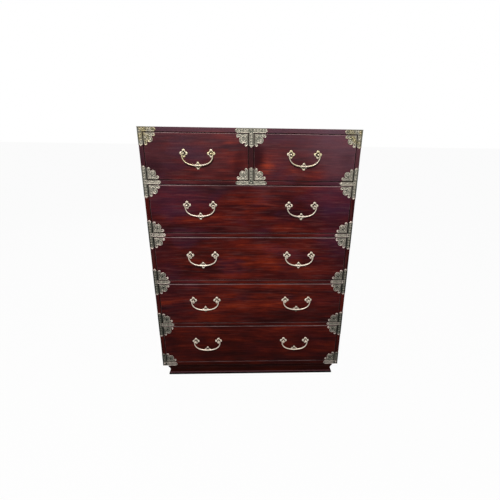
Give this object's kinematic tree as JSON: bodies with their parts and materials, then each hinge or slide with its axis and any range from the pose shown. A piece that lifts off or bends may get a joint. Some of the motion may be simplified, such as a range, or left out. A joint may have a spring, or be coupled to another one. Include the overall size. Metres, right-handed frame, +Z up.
{
  "type": "tansu chest of drawers",
  "caption": "Tall tansu-style chest: two small drawers over wide ones, brass corner plates and rail brackets, loose brass bail pulls, hollow-moulded plinth.",
  "frame": {"origin": "on the floor, under the middle of the whole chest's box, bails included", "axes": "+Z up, the drawer fronts face -Y, +X to the right of someone facing the drawers"},
  "size_m": [0.9674, 0.5004, 1.282],
  "materials": {
    "mahogany": "dark red-brown polish over streaky figured mahogany, glossy",
    "drawer_oak": "pale lacquered oak, satin",
    "plywood": "brown plywood, matt",
    "antique_brass": "embossed brass, toned grey-green with bright worn rims",
    "pale_brass": "cast pale brass, dark in its hollows"
  },
  "bodies": {
    "case": {"case_top": "mahogany", "side_left": "mahogany", "side_right": "mahogany", "case_bottom": "drawer_oak", "back_panel": "plywood", "rail_1": "mahogany", "rail_2": "mahogany", "rail_3": "mahogany", "rail_4": "mahogany", "bottom_rail": "mahogany", "centre_divider": "mahogany", "web_frames": "drawer_oak", "dust_panels": "plywood", "drawer_stops": "drawer_oak", "plinth_front": "mahogany", "plinth_sides": "mahogany", "plinth_back": "drawer_oak", "glue_blocks": "drawer_oak", "corner_brackets": "antique_brass", "rail_brackets": "antique_brass"},
    "upper_left_drawer": {"upper_left_drawer_front": "mahogany", "upper_left_drawer_box": "drawer_oak", "upper_left_drawer_bottom": "plywood", "upper_left_drawer_corner_plates": "antique_brass", "upper_left_drawer_pull_mounts": "pale_brass"},
    "upper_left_bail": {"upper_left_bail": "pale_brass"},
    "upper_right_drawer": {"upper_right_drawer_front": "mahogany", "upper_right_drawer_box": "drawer_oak", "upper_right_drawer_bottom": "plywood", "upper_right_drawer_corner_plates": "antique_brass", "upper_right_drawer_pull_mounts": "pale_brass"},
    "upper_right_bail": {"upper_right_bail": "pale_brass"},
    "second_drawer": {"second_drawer_front": "mahogany", "second_drawer_box": "drawer_oak", "second_drawer_bottom": "plywood", "second_drawer_corner_plates": "antique_brass", "second_drawer_pull_mounts": "pale_brass"},
    "second_left_bail": {"second_left_bail": "pale_brass"},
    "second_right_bail": {"second_right_bail": "pale_brass"},
    "third_drawer": {"third_drawer_front": "mahogany", "third_drawer_box": "drawer_oak", "third_drawer_bottom": "plywood", "third_drawer_corner_plates": "antique_brass", "third_drawer_pull_mounts": "pale_brass"},
    "third_left_bail": {"third_left_bail": "pale_brass"},
    "third_right_bail": {"third_right_bail": "pale_brass"},
    "fourth_drawer": {"fourth_drawer_front": "mahogany", "fourth_drawer_box": "drawer_oak", "fourth_drawer_bottom": "plywood", "fourth_drawer_corner_plates": "antique_brass", "fourth_drawer_pull_mounts": "pale_brass"},
    "fourth_left_bail": {"fourth_left_bail": "pale_brass"},
    "fourth_right_bail": {"fourth_right_bail": "pale_brass"},
    "bottom_drawer": {"bottom_drawer_front": "mahogany", "bottom_drawer_box": "drawer_oak", "bottom_drawer_bottom": "plywood", "bottom_drawer_corner_plates": "antique_brass", "bottom_drawer_pull_mounts": "pale_brass"},
    "bottom_left_bail": {"bottom_left_bail": "pale_brass"},
    "bottom_right_bail": {"bottom_right_bail": "pale_brass"}
  },
  "joints": [
    {"name": "upper_left_drawer_slide", "type": "slide", "parent": "case", "child": "upper_left_drawer", "axis": [0, -1, 0], "range_m": [0, 0.34]},
    {"name": "upper_left_bail_hinge", "type": "hinge", "parent": "upper_left_drawer", "child": "upper_left_bail", "pos_m": [-0.234, -0.2458, 1.1775], "axis": [-1, 0, 0], "range_deg": [-7, 187]},
    {"name": "upper_right_drawer_slide", "type": "slide", "parent": "case", "child": "upper_right_drawer", "axis": [0, -1, 0], "range_m": [0, 0.34]},
    {"name": "upper_right_bail_hinge", "type": "hinge", "parent": "upper_right_drawer", "child": "upper_right_bail", "pos_m": [0.234, -0.2458, 1.1775], "axis": [-1, 0, 0], "range_deg": [-7, 187]},
    {"name": "second_drawer_slide", "type": "slide", "parent": "case", "child": "second_drawer", "axis": [0, -1, 0], "range_m": [0, 0.34]},
    {"name": "second_left_bail_hinge", "type": "hinge", "parent": "second_drawer", "child": "second_left_bail", "pos_m": [-0.234, -0.2458, 0.9545], "axis": [-1, 0, 0], "range_deg": [-7, 187]},
    {"name": "second_right_bail_hinge", "type": "hinge", "parent": "second_drawer", "child": "second_right_bail", "pos_m": [0.234, -0.2458, 0.9545], "axis": [-1, 0, 0], "range_deg": [-7, 187]},
    {"name": "third_drawer_slide", "type": "slide", "parent": "case", "child": "third_drawer", "axis": [0, -1, 0], "range_m": [0, 0.34]},
    {"name": "third_left_bail_hinge", "type": "hinge", "parent": "third_drawer", "child": "third_left_bail", "pos_m": [-0.234, -0.2458, 0.7135], "axis": [-1, 0, 0], "range_deg": [-7, 187]},
    {"name": "third_right_bail_hinge", "type": "hinge", "parent": "third_drawer", "child": "third_right_bail", "pos_m": [0.234, -0.2458, 0.7135], "axis": [-1, 0, 0], "range_deg": [-7, 187]},
    {"name": "fourth_drawer_slide", "type": "slide", "parent": "case", "child": "fourth_drawer", "axis": [0, -1, 0], "range_m": [0, 0.34]},
    {"name": "fourth_left_bail_hinge", "type": "hinge", "parent": "fourth_drawer", "child": "fourth_left_bail", "pos_m": [-0.234, -0.2458, 0.4725], "axis": [-1, 0, 0], "range_deg": [-7, 187]},
    {"name": "fourth_right_bail_hinge", "type": "hinge", "parent": "fourth_drawer", "child": "fourth_right_bail", "pos_m": [0.234, -0.2458, 0.4725], "axis": [-1, 0, 0], "range_deg": [-7, 187]},
    {"name": "bottom_drawer_slide", "type": "slide", "parent": "case", "child": "bottom_drawer", "axis": [0, -1, 0], "range_m": [0, 0.34]},
    {"name": "bottom_left_bail_hinge", "type": "hinge", "parent": "bottom_drawer", "child": "bottom_left_bail", "pos_m": [-0.234, -0.2458, 0.2315], "axis": [-1, 0, 0], "range_deg": [-7, 187]},
    {"name": "bottom_right_bail_hinge", "type": "hinge", "parent": "bottom_drawer", "child": "bottom_right_bail", "pos_m": [0.234, -0.2458, 0.2315], "axis": [-1, 0, 0], "range_deg": [-7, 187]}
  ]
}
